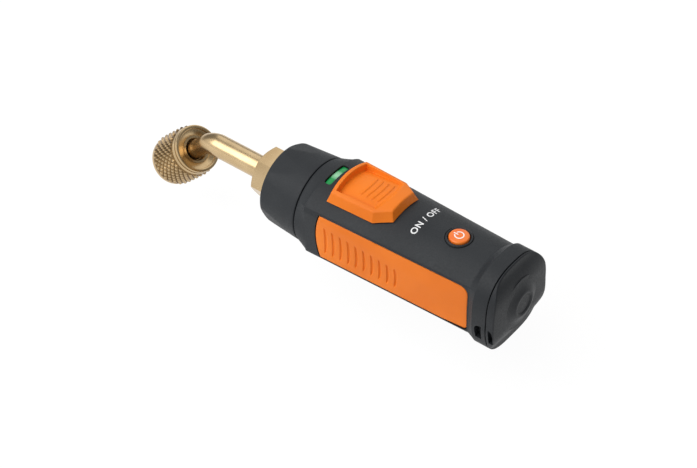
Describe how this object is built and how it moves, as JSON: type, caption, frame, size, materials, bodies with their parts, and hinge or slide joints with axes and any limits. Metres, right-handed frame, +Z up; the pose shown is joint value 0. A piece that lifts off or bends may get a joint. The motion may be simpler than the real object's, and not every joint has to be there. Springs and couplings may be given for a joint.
{
  "type": "handheld pressure gauge",
  "caption": "Handheld refrigerant pressure gauge: ribbed battery handle with thumb latch, push button and light window, and a bent brass port with a knurled swivel nut.",
  "frame": {"origin": "centre of the sealing face at the end of the brass port, inside the swivel nut", "axes": "+X along the handle to its rear cap, +Z up through the spine with the button, +Y the left side"},
  "size_m": [0.1546, 0.0304, 0.0438],
  "materials": {
    "charcoal_plastic": "fine matt texture",
    "orange_plastic": "satin",
    "brass": "turned, bright",
    "green_window": "gloss, translucent",
    "black_rubber": "matt",
    "white_seal": "matt",
    "circuit_board": "solder mask",
    "steel": "plain",
    "tin_shield": "tinned",
    "led_body": "plain",
    "cell_wrap": "film",
    "grey_plastic": "plain"
  },
  "bodies": {
    "handle": {"front_collar": "charcoal_plastic", "handle_housing": "charcoal_plastic", "end_cap": "charcoal_plastic", "button_ring": "charcoal_plastic", "tact_switch": "charcoal_plastic", "left_grip": "orange_plastic", "right_grip": "orange_plastic", "hex_fitting": "brass", "port_tube": "brass", "core_depressor": "brass", "light_window": "green_window", "cap_seal": "black_rubber", "sensor_oring": "black_rubber", "port_seal": "white_seal", "main_board": "circuit_board", "sensor_board": "circuit_board", "board_screw_1": "steel", "board_screw_2": "steel", "pressure_sensor": "steel", "contact_spring_1": "steel", "contact_spring_2": "steel", "contact_spring_3": "steel", "front_contacts": "steel", "rear_contacts": "steel", "radio_module": "tin_shield", "status_led": "led_body", "battery_cell_1": "cell_wrap", "battery_cell_2": "cell_wrap", "battery_cell_3": "cell_wrap", "battery_carrier": "grey_plastic"},
    "swivel_nut": {"swivel_nut": "brass"},
    "power_button": {"power_button": "orange_plastic"},
    "thumb_latch": {"thumb_latch": "orange_plastic", "latch_keeper": "charcoal_plastic"}
  },
  "joints": [
    {"name": "nut_spin", "type": "hinge", "parent": "handle", "child": "swivel_nut", "pos_m": [0, 0, 0], "axis": [-0.7071, 0, -0.7071], "continuous": true},
    {"name": "button_press", "type": "slide", "parent": "handle", "child": "power_button", "axis": [0, 0, -1], "range_m": [0, 0.0005], "stiffness_N_per_m": 3000, "springref_m": -0.0003},
    {"name": "latch_slide", "type": "slide", "parent": "handle", "child": "thumb_latch", "axis": [1, 0, 0], "range_m": [0, 0.004]}
  ]
}
